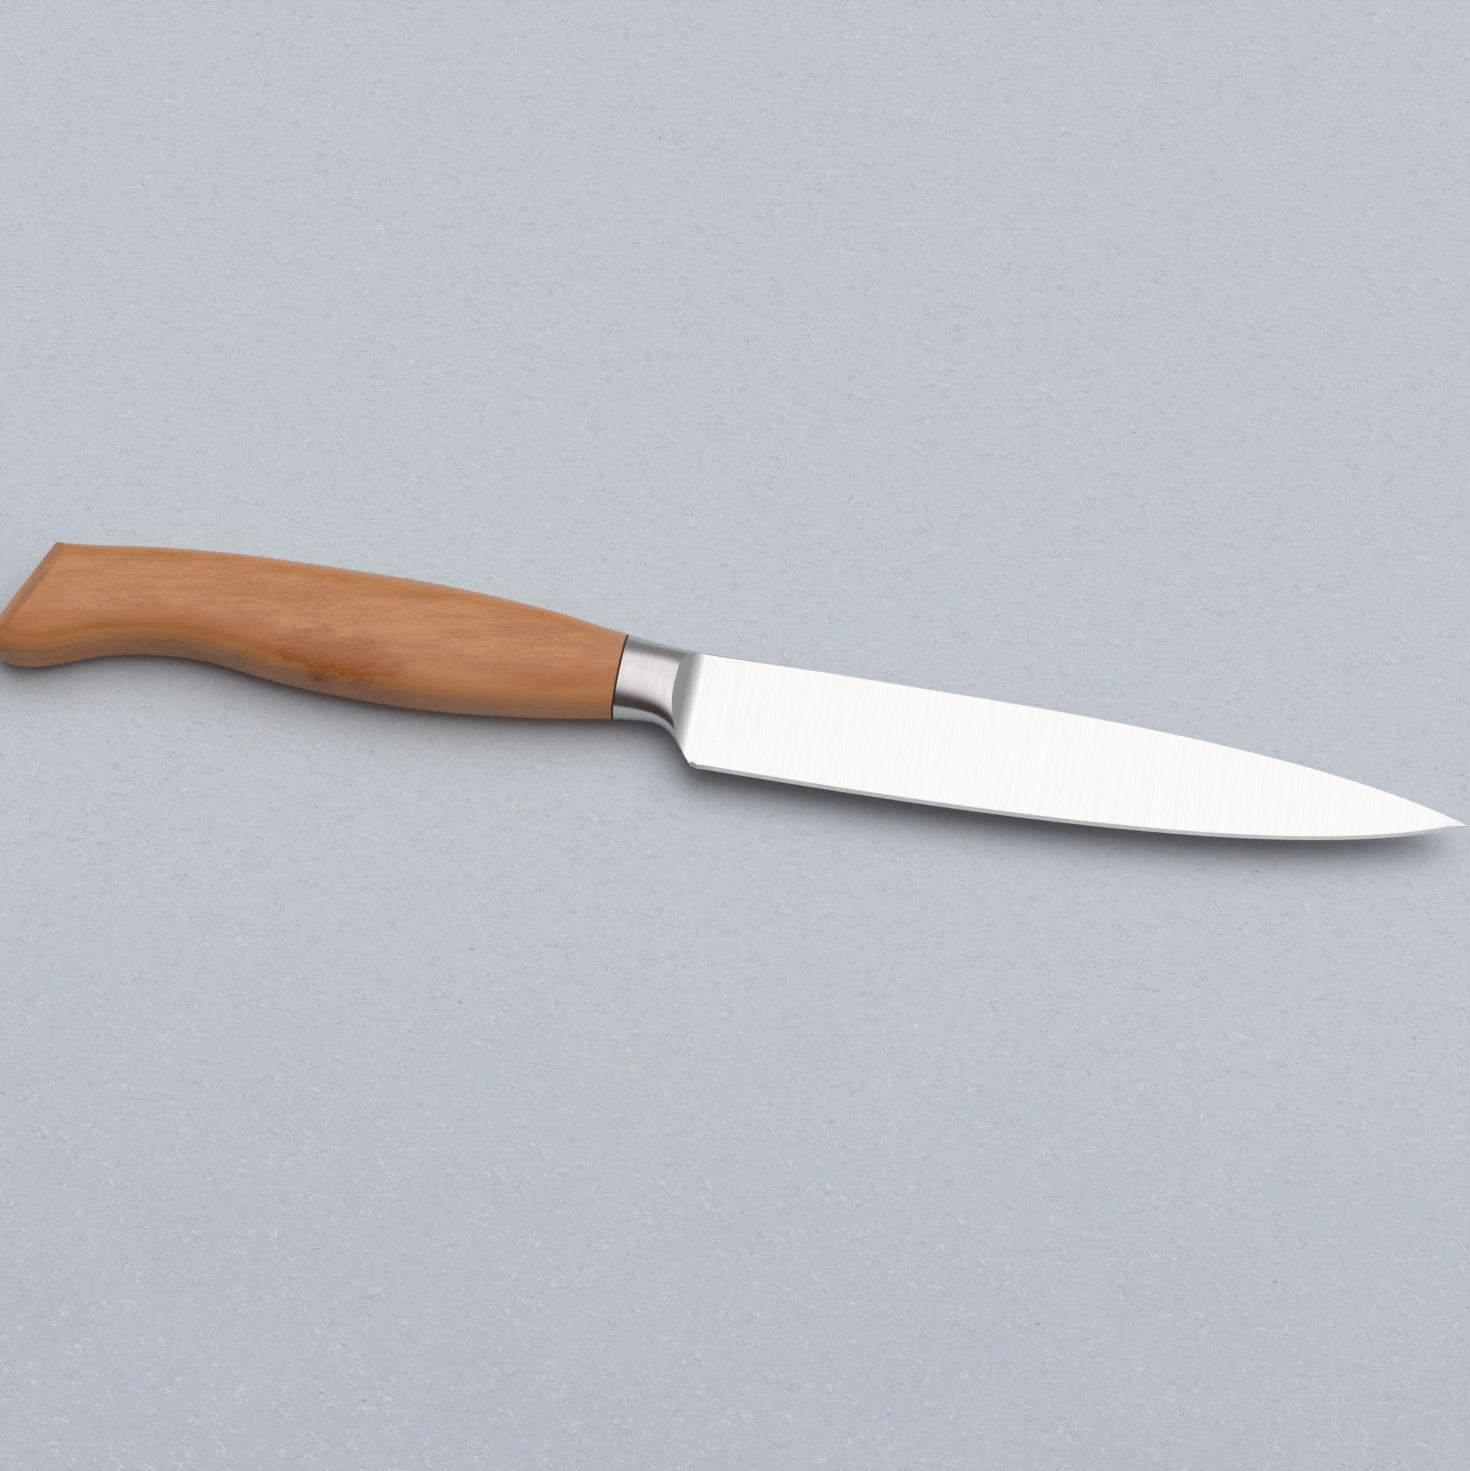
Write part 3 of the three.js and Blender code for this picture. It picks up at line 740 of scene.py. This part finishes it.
# %% Wood fibres
WOOD_PALE = (0.500, 0.220, 0.084, 1)
WOOD_MID = (0.395, 0.149, 0.042, 1)
# Painted shade: darker, warmer wood on the belly's shoulder, where it turns away from the light.
WOOD_SHOULDER_SHADE = (0.390, 0.132, 0.026, 1)
WOOD_BROWN = (0.322, 0.100, 0.020, 1)
# Painted light and painted reflection: a paler tone for the lit belly in front and for the band that
# mirrors the table.
WOOD_PAINTED_PALE = (0.600, 0.290, 0.125, 1)
# Painted sheen: a greyer tone for the back's rounding.
WOOD_BACK_SHEEN = (0.440, 0.220, 0.110, 1)
WOOD_FLECK = (0.565, 0.270, 0.105, 1)
WOOD_PORE = (0.205, 0.070, 0.025, 1)
FIBRE_TURN = math.radians(10.7)
CLOUD = ((0.03, 0.14, 0.14), 3.0, 3.0)
STREAK = ((0.05, 0.9, 0.9), 3.0, 11.0)
FIBRE = ((1.1, 3.0, 3.0), 3.0, 5.0)
PATCH = ((0.10, 0.42, 0.42), 2.0, 61.0)
FLECK = ((0.8, 3.2, 3.2), 1.0, 23.0)
PORE = ((0.6, 3.0, 3.0), 1.0, 37.0)
TONE_WEIGHTS = (0.9, 0.8, 1.2, 1.4)
TONE_RANGE = (1.66, 2.62)
FLECK_RANGE = (0.58, 0.72, 0.0, 0.5)
PORE_RANGE = (0.60, 0.74, 0.0, 0.38)

tree, shader = new_finish("handle wood", handle)
place = in_mm(tree)
turned = add_node(tree, "VectorRotate", {"Vector": place, "Angle": -FIBRE_TURN}, rotation_type="Z_AXIS")
grain = turned.outputs[0]
cloud, streak, fibre, patch = [
    stretched_noise(tree, grain, *noise) for noise in (CLOUD, STREAK, FIBRE, PATCH)
]
tone = 0.0
for noise, weight in zip((cloud, streak, fibre, patch), TONE_WEIGHTS):
    tone = sums(tree, "ADD", tone, product(tree, noise, weight))
wood_colour = blend(tree, soft_step(tree, tone, *TONE_RANGE), WOOD_PALE, WOOD_MID)
flecks = soft_step(tree, stretched_noise(tree, grain, *FLECK), *FLECK_RANGE)
wood_colour = blend(tree, flecks, wood_colour, WOOD_FLECK)
pores = soft_step(tree, stretched_noise(tree, grain, *PORE), *PORE_RANGE)
wood_colour = blend(tree, pores, wood_colour, WOOD_PORE)
print("wood fibres turned", round(math.degrees(FIBRE_TURN), 1), "degrees off the knife's length")

# %% [markdown]
# A few marks make this piece of wood its own. A growth layer dips under the flat side in front and
# comes to the surface as a darker tongue, and there is a brown stain round a pin knot. Other zones
# are painted light: the belly is paler towards the joint, where light from the right falls on it;
# the belly's shoulder is darker and warmer all along, a painted shade, over a paler band that is a
# painted reflection of the table; and the back is a little greyer, a painted sheen. Each mark is a
# simple distance or a zone, and most are made uneven by noise. They follow the wood into its depth,
# as real marks do.

# %% Marks and painted light in the wood
SWAY = ((0.16, 0.3, 0.3), 3.0, 51.0)
LAYER_LOW_X, LAYER_LOW_Z = 25.0, 9.9
LAYER_RUN, LAYER_RISE = 17.0, 1.6
LAYER_LEAN = 0.06
LAYER_SWAY = 1.2
LAYER_BORDER = (-0.12, 0.15, 0.0, 0.25)
LAYER_FROM = (4.0, 12.0)
# Painted shade: a darker, warmer band where the belly's shoulder turns away from the light.
SHOULDER_SHADE_SWAY = 0.8
SHOULDER_SHADE_ZONE, SHOULDER_SHADE_SHARE = (("Z", 12.01, 11.65), ("Z", 9.9, 11.0), ("Y", 0.0, -3.0)), 0.65
# Painted reflection: a paler band low on the belly, where the wood mirrors the table.
REFLECTION_BAND_ZONE, REFLECTION_BAND_SHARE = (("Z", 11.0, 10.2), ("Z", 8.6, 9.4), ("Y", 0.0, -3.0)), 0.35
# Painted light: the belly is paler towards the joint, where light from the right falls on it.
LIT_BELLY_ZONE, LIT_BELLY_SHARE = (("X", 6.0, 26.0), ("Y", -5.0, -8.5)), 0.5
# Painted sheen: the back's rounding is greyer, as a shine on it would make it.
BACK_SHEEN_ZONE, BACK_SHEEN_SHARE = (("Z", 11.95, 10.6), ("Y", 0.0, 3.0), ("X", -50.0, -42.0)), 0.8
STAIN_MIDDLE, STAIN_REACH = (2.5, -7.6, 10.6), (13.0, 5.0, 3.6)
STAIN_BORDER = (1.15, 0.45)
STAIN_IN_FIBRES = (0.35, 0.65, 0.5, 1.0)
BLOT = ((0.3, 0.8, 0.8), 5.0, 71.0)
BLOT_SWAY = 2.0
KNOT_MIDDLE = (0.13, -11.14, 8.48)
KNOT_SWAY = 0.8
KNOT_HALO = (3.6, 0.8, 0.0, 0.7)
KNOT_CORE = (1.05, 0.4)
WOOD_ROUGH = (0.2, 0.12)  # least, and how much the streaks add
FIBRE_DEPTH = 0.012 * mm

sway = stretched_noise(tree, place, *SWAY)
along = add_node(tree, "SeparateXYZ", {"Vector": place}).outputs
rise = sums(tree, "DIVIDE", sums(tree, "SUBTRACT", along["X"], LAYER_LOW_X), LAYER_RUN)
layer = sums(tree, "ADD", product(tree, rise, rise, LAYER_RISE), either_way(tree, sway, LAYER_SWAY))
layer = sums(tree, "SUBTRACT", layer, product(tree, along["Y"], LAYER_LEAN))
under_layer = sums(tree, "SUBTRACT", sums(tree, "ADD", layer, LAYER_LOW_Z), along["Z"])
layer_reach = soft_step(tree, along["X"], *LAYER_FROM)
layer_tone = product(tree, soft_step(tree, under_layer, *LAYER_BORDER), layer_reach)
wood_colour = blend(tree, layer_tone, wood_colour, WOOD_BROWN)

uneven_z = sums(tree, "ADD", along["Z"], either_way(tree, sway, SHOULDER_SHADE_SWAY))
shade_along = {"Y": along["Y"], "Z": uneven_z}
# Zones of painted shade, painted reflection, painted light and painted sheen over the wood's colour.
for zone_along, limits, share, zone_colour in (
    (shade_along, SHOULDER_SHADE_ZONE, SHOULDER_SHADE_SHARE, WOOD_SHOULDER_SHADE),
    (along, REFLECTION_BAND_ZONE, REFLECTION_BAND_SHARE, WOOD_PAINTED_PALE),
    (along, LIT_BELLY_ZONE, LIT_BELLY_SHARE, WOOD_PAINTED_PALE),
    (along, BACK_SHEEN_ZONE, BACK_SHEEN_SHARE, WOOD_BACK_SHEEN),
):
    zone_tone = product(tree, zone(tree, zone_along, limits), share)
    wood_colour = blend(tree, zone_tone, wood_colour, zone_colour)

stain_way = vectors(tree, "DIVIDE", vectors(tree, "SUBTRACT", place, STAIN_MIDDLE), STAIN_REACH)
stain_far = vectors(tree, "LENGTH", stain_way, result="Value")
blot = stretched_noise(tree, grain, *BLOT)
stain_far = sums(tree, "ADD", stain_far, either_way(tree, blot, BLOT_SWAY))
in_fibres = soft_step(tree, fibre, *STAIN_IN_FIBRES)
stain = product(tree, soft_step(tree, stain_far, *STAIN_BORDER), in_fibres)
wood_colour = blend(tree, stain, wood_colour, WOOD_BROWN)

knot_far = vectors(tree, "DISTANCE", place, KNOT_MIDDLE, "Value")
knot_far = sums(tree, "ADD", knot_far, either_way(tree, sway, KNOT_SWAY))
wood_colour = blend(tree, soft_step(tree, knot_far, *KNOT_HALO), wood_colour, WOOD_BROWN)
wood_colour = blend(tree, soft_step(tree, knot_far, *KNOT_CORE), wood_colour, WOOD_PORE)
rough = sums(tree, "ADD", product(tree, streak, WOOD_ROUGH[1]), WOOD_ROUGH[0])
finish_with(tree, shader, wood_colour, rough, fibre, FIBRE_DEPTH)
print("wood: stain and pin knot", KNOT_MIDDLE, "mm")

# %% [markdown]
# The washer is vulcanised fibre, dark and matt, and the adhesive inside the handle is amber resin.
# Neither is seen much, yet both get a grain of their own.

# %% Fibre and resin
FIBRE_DARK = (0.016, 0.010, 0.008, 1)
FIBRE_PALE = (0.040, 0.026, 0.020, 1)
RESIN_DARK = (0.46, 0.33, 0.12, 1)
RESIN_PALE = (0.66, 0.53, 0.27, 1)
SPECK_DETAIL = 3.0

for name, piece, dark, pale, per_mm, rough_range, depth in (
    ("dark fibre", spacer, FIBRE_DARK, FIBRE_PALE, 3.0, (0.65, 0.85), 0.02 * mm),
    ("cured resin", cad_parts["tang_epoxy"], RESIN_DARK, RESIN_PALE, 0.4, (0.3, 0.5), 0.05 * mm),
):
    tree, shader = new_finish(name, piece)
    speck = stretched_noise(tree, in_mm(tree), (per_mm,) * 3, SPECK_DETAIL)
    rough = soft_step(tree, speck, *NOISE_RANGE, *rough_range)
    finish_with(tree, shader, blend(tree, speck, dark, pale), rough, speck, depth)
print("fibre and resin done")

# %% [markdown]
# Brushed steel is a mirror that is scratched in one direction: it blurs reflections across the
# scratches and keeps them sharp along them. The collar is brushed round and round, so the blur
# lies along the knife. The blade is ground across, much finer, and its bevel is coarser than both.
# The bevel's steel is also darker: partly its coarser grind, partly painted shade.

# %% Brushed steel
STEEL_PALE = (0.654, 0.652, 0.649, 1)
STEEL_GREY = (0.640, 0.638, 0.635, 1)
COLLAR_PALE = (0.665, 0.652, 0.648, 1)
COLLAR_GREY = (0.600, 0.588, 0.584, 1)
# Darker steel on the bevel: partly its coarser grind, partly painted shade.
BEVEL_PALE = (0.50, 0.50, 0.505, 1)
BEVEL_GREY = (0.40, 0.40, 0.41, 1)
COLLAR_BRUSH = ((5.0, 0.12, 0.12), 3.0, 2.0)
COLLAR_CONTRAST = (0.25, 0.75)
COLLAR_ROUGH = (0.30, 0.22)
COLLAR_DEPTH = 0.0006 * mm
COLLAR_BLUR = 0.75
QUARTER_TURN = 0.25
BLADE_GRIND = ((4.0, 0.06, 0.06), 3.0, 7.0)
BLADE_HAZE = ((0.02, 0.05, 0.05), 2.0, 9.0)
BLADE_CONTRAST = (0.6, 1.4)
BLADE_ROUGH = (0.25, 0.20)
BLADE_DEPTH = 0.00002 * mm
BEVEL_SCRATCH = ((6.0, 0.3, 0.3), 3.0, 13.0)
BEVEL_ROUGH = (0.45, 0.3)
BEVEL_DEPTH = 0.002 * mm
PIT_X, PIT_Y = 68.3 * mm, -9.61 * mm
PIT_BORDER = (0.2, 0.08, 0.0, 0.7)
PIT_MIDDLE = (PIT_X / mm, PIT_Y / mm, (middle_z + flank_half(PIT_X, PIT_Y)) / mm)

tree, shader = new_finish("brushed collar steel", bolster)
shader.inputs["Metallic"].default_value = 1
shader.inputs["Anisotropic"].default_value = COLLAR_BLUR
shader.inputs["Anisotropic Rotation"].default_value = QUARTER_TURN
around = add_node(tree, "Tangent", direction_type="RADIAL", axis="X").outputs["Tangent"]
tree.links.new(around, shader.inputs["Tangent"])
brush = stretched_noise(tree, in_mm(tree), *COLLAR_BRUSH)
colour = blend(tree, soft_step(tree, brush, *COLLAR_CONTRAST), COLLAR_GREY, COLLAR_PALE)
rough = soft_step(tree, brush, *NOISE_RANGE, *COLLAR_ROUGH)
finish_with(tree, shader, colour, rough, brush, COLLAR_DEPTH)

tree, shader = new_finish("satin blade steel", blade)
shader.inputs["Metallic"].default_value = 1
place = in_mm(tree)
ground = stretched_noise(tree, place, *BLADE_GRIND)
haze = stretched_noise(tree, place, *BLADE_HAZE)
shade = soft_step(tree, sums(tree, "ADD", ground, haze), *BLADE_CONTRAST)
colour = blend(tree, shade, STEEL_GREY, STEEL_PALE)
pit_far = vectors(tree, "DISTANCE", place, PIT_MIDDLE, "Value")
colour = blend(tree, soft_step(tree, pit_far, *PIT_BORDER), colour, BEVEL_GREY)
rough = soft_step(tree, ground, *NOISE_RANGE, *BLADE_ROUGH)
finish_with(tree, shader, colour, rough, ground, BLADE_DEPTH)
bolster.data.materials.append(blade.data.materials[0])

tree, shader = new_finish("sharpened bevel steel", blade, first=False)
shader.inputs["Metallic"].default_value = 1
scratch = stretched_noise(tree, in_mm(tree), *BEVEL_SCRATCH)
colour = blend(tree, scratch, BEVEL_GREY, BEVEL_PALE)
rough = soft_step(tree, scratch, *NOISE_RANGE, *BEVEL_ROUGH)
finish_with(tree, shader, colour, rough, scratch, BEVEL_DEPTH)
for piece in (bolster, blade):
    print(piece.name, "has", [material.name for material in piece.data.materials])

# %% [markdown]
# The table is a large pale plane, painted by hand: the coat has a faint fibrous relief and a few
# specks. It isn't part of the knife, so it isn't tied to the knife's frame.

# %% Table
TABLE_HALF = 5.0
TABLE_GAP = 0.02 * mm
# Painted falloff of the light: the table's colour is darker towards the camera.
TABLE_LIT_FAR = (0.509, 0.562, 0.600, 1)
TABLE_SHADED_NEAR = (0.447, 0.485, 0.550, 1)
TABLE_MARK = (0.590, 0.620, 0.630, 1)
TABLE_SPECK = (0.200, 0.210, 0.230, 1)
TABLE_LIGHT_FADES = (-160.0, -10.0)
TABLE_ROUGH = 0.8
TABLE_SHINE = 0.2
MOTTLE = ((0.05, 0.05, 0.05), 6.0, 1.0)
MOTTLE_RANGE = (0.3, 0.7, 0.0, 0.12)
STRAND = ((0.42, 0.5, 0.45), 2.0)
STRAND_SHIFTS = (17.0, 83.0)
STRAND_TWIST = 1.2
STRAND_WIDTH = 0.05
STRAND_PATCH = ((0.3, 0.3, 0.3), 2.0)
PATCH_SHIFT = 12
PATCH_RANGE = (0.46, 0.62)
STRAND_SHARE = 0.85
SPECK = ((0.3, 0.7, 0.5), 0.0, 43.0)
SPECK_RANGE = (0.90, 0.93, 0.0, 0.6)
GRIT = ((0.75, 0.95, 0.9), 2.0, 3.0)
GRIT_DARKENS = 0.2
GRIT_HEIGHT = 0.8  # of a strand's
RELIEF_DEPTH = 0.055 * mm

table_mesh = bpy.data.meshes.new("table")
corners = [(-1, -1), (1, -1), (1, 1), (-1, 1)]
table_mesh.from_pydata([(TABLE_HALF * x, TABLE_HALF * y, 0) for x, y in corners], [], [(0, 1, 2, 3)])
table = bpy.data.objects.new("table", table_mesh)
table.location.z = wood_low.z - TABLE_GAP
bpy.context.scene.collection.objects.link(table)
tree, shader = new_finish("pale table", table)
place = in_mm(tree)
depth = add_node(tree, "SeparateXYZ", {"Vector": place}).outputs["Y"]
# The colour darkens towards the camera: a painted falloff of the light.
colour = blend(tree, soft_step(tree, depth, *TABLE_LIGHT_FADES), TABLE_SHADED_NEAR, TABLE_LIT_FAR)
mottle = soft_step(tree, stretched_noise(tree, place, *MOTTLE), *MOTTLE_RANGE)
colour = blend(tree, mottle, colour, TABLE_MARK)
strands = 0.0
for shift in STRAND_SHIFTS:
    strand = stretched_noise(tree, place, *STRAND, shift, STRAND_TWIST)
    strand = sums(tree, "ABSOLUTE", sums(tree, "SUBTRACT", strand, 0.5))
    patch = stretched_noise(tree, place, *STRAND_PATCH, shift + PATCH_SHIFT)
    patch = soft_step(tree, patch, *PATCH_RANGE)
    strand = product(tree, soft_step(tree, strand, STRAND_WIDTH, 0.0), patch)
    strands = sums(tree, "MAXIMUM", strand, strands)
colour = blend(tree, product(tree, strands, STRAND_SHARE), colour, TABLE_MARK)
specks = soft_step(tree, stretched_noise(tree, place, *SPECK), *SPECK_RANGE)
colour = blend(tree, specks, colour, TABLE_SPECK)
grit = stretched_noise(tree, place, *GRIT)
uneven = sums(tree, "ADD", either_way(tree, grit, GRIT_DARKENS), 1.0)
colour = add_node(tree, "HueSaturation", {"Value": uneven, "Color": colour}).outputs["Color"]
shader.inputs["Roughness"].default_value = TABLE_ROUGH
shader.inputs["Specular IOR Level"].default_value = TABLE_SHINE
relief = sums(tree, "ADD", strands, product(tree, grit, GRIT_HEIGHT))
finish_with(tree, shader, colour, None, relief, RELIEF_DEPTH)
print("table at", round(table.location.z, 6))

# %% [markdown]
# The light is a big soft panel overhead. It leans to the far side and dims towards the camera and
# towards the tip, in a room that is dark behind the camera and paler on the right. Steel shows that
# room as bright and dark bands, so the panel's soft borders matter as much as its strength. The
# world paints it from the direction alone, as an angle from straight up: to the camera's side, and
# to the tip.

# %% Light of the room
PANEL_LEVEL = 1.62
FAR_EDGE = (-60, -22)
NEAR_EDGE = (4, 46)
NEAR_DIMS = (-25, 55)
NEAR_DIMMED = 0.32
BUTT_EDGE = (-45, -6)
TIP_EDGE = 8
TIP_RUN = 30
ROOM_NEAR = 0.055
ROOM_FAR = 0.3
ROOM_TIP_SIDE = 0.1
ROOM_RIGHT = 0.75
ROOM_FADES = (-0.7, 0.3)
TIP_SIDE = (("X", 0.2, 0.8), ("Y", -0.6, 0.2))
RIGHT_SIDE = (("X", 0.35, 0.75), ("Y", 0.15, -0.25))
NEAR_TINT = (1.0, 0.72, 0.80, 1)
TINT_FADES = (-0.9, 0.1)
WHITE = (1, 1, 1, 1)

world = bpy.data.worlds.new("studio")
bpy.context.scene.world = world
world.use_nodes = True
tree = world.node_tree
sky = tree.nodes["Background"]
direction = add_node(tree, "TexCoord").outputs["Generated"]
way = add_node(tree, "SeparateXYZ", {"Vector": direction}).outputs
near_angle = sums(tree, "ARCTAN2", product(tree, way["Y"], -1.0), way["Z"])
near_angle = sums(tree, "DEGREES", near_angle)
tip_angle = sums(tree, "DEGREES", sums(tree, "ARCTAN2", way["X"], way["Z"]))
far_part = soft_step(tree, near_angle, *FAR_EDGE)
near_part = soft_step(tree, near_angle, *NEAR_EDGE, 1.0, 0.0)
butt_part = soft_step(tree, tip_angle, *BUTT_EDGE)
past_edge = sums(tree, "MAXIMUM", sums(tree, "SUBTRACT", tip_angle, TIP_EDGE), 0.0)
tip_part = sums(tree, "EXPONENT", sums(tree, "DIVIDE", past_edge, -TIP_RUN))
dimming = add_node(tree, "MapRange", {
    "Value": near_angle, "From Min": NEAR_DIMS[0], "From Max": NEAR_DIMS[1],
    "To Min": 1.0, "To Max": NEAR_DIMMED,
}).outputs["Result"]
panel = product(tree, far_part, near_part, butt_part, tip_part, dimming)
room = soft_step(tree, way["Y"], *ROOM_FADES, ROOM_NEAR, ROOM_FAR)
for side, side_level in ((TIP_SIDE, ROOM_TIP_SIDE), (RIGHT_SIDE, ROOM_RIGHT)):
    room = sums(tree, "ADD", room, product(tree, zone(tree, way, side), side_level))
level = add_node(tree, "Mix", {"Factor": panel, "A": room, "B": PANEL_LEVEL}).outputs["Result"]
tree.links.new(level, sky.inputs["Strength"])
near_tint = blend(tree, soft_step(tree, way["Y"], *TINT_FADES), NEAR_TINT, WHITE)
tree.links.new(blend(tree, panel, near_tint, WHITE), sky.inputs["Color"])
print("panel level", PANEL_LEVEL, "room", ROOM_NEAR, "to", ROOM_FAR)

# %% [markdown]
# A second, wider light stands to the far right. It only fills: it brings table and wood up to a plain
# level and gives the shadows their direction, and mirrors don't show it.

# %% Fill light
FILL_LEVEL = 0.415
FILL_WIDTH = math.radians(70)
FILL_FROM = np.array([math.tan(math.radians(15)), math.tan(math.radians(20)), 1.0])

fill_from = FILL_FROM / np.linalg.norm(FILL_FROM)
fill_data = bpy.data.lights.new("fill", "SUN")
fill_data.energy = FILL_LEVEL * math.pi / fill_from[2]
fill_data.angle = FILL_WIDTH
fill = bpy.data.objects.new("fill", fill_data)
fill.rotation_euler = (0, math.acos(fill_from[2]), math.atan2(fill_from[1], fill_from[0]))
fill.visible_glossy = False
bpy.context.scene.collection.objects.link(fill)
print(f"fill light of {fill_data.energy:.2f} from", fill_from.round(2))

# %% [markdown]
# The photograph was taken from the near side, high up, with a long lens. The direction, distance and
# lens were found by matching the knife's outline.

# %% Camera
CAMERA_AZIMUTH = math.radians(10.68)
CAMERA_ELEVATION = math.radians(62)
CAMERA_DISTANCE = 0.9
FOCAL_PIXELS = 5325.6
IMAGE_WIDTH = 1470
LOOK_AHEAD_OF_JOINT = 21.36 * mm
LOOK_UNDER_TANG = 7.59 * mm

camera_data = bpy.data.cameras.new("camera")
camera = bpy.data.objects.new("camera", camera_data)
bpy.context.scene.collection.objects.link(camera)
camera_data.sensor_fit = "HORIZONTAL"
camera_data.lens = camera_data.sensor_width * FOCAL_PIXELS / IMAGE_WIDTH
camera_data.clip_end = 50
target = np.array([joint_x + LOOK_AHEAD_OF_JOINT, -LOOK_UNDER_TANG, middle_z])
back = np.array([
    math.sin(CAMERA_AZIMUTH) * math.cos(CAMERA_ELEVATION),
    -math.cos(CAMERA_AZIMUTH) * math.cos(CAMERA_ELEVATION),
    math.sin(CAMERA_ELEVATION),
])
camera.location = target + CAMERA_DISTANCE * back
camera.rotation_euler = (math.pi / 2 - CAMERA_ELEVATION, 0, CAMERA_AZIMUTH)
bpy.context.scene.camera = camera
bpy.context.scene.view_settings.view_transform = "Standard"
print("camera at", [round(v, 4) for v in camera.location], f"lens {camera_data.lens:.1f} mm")
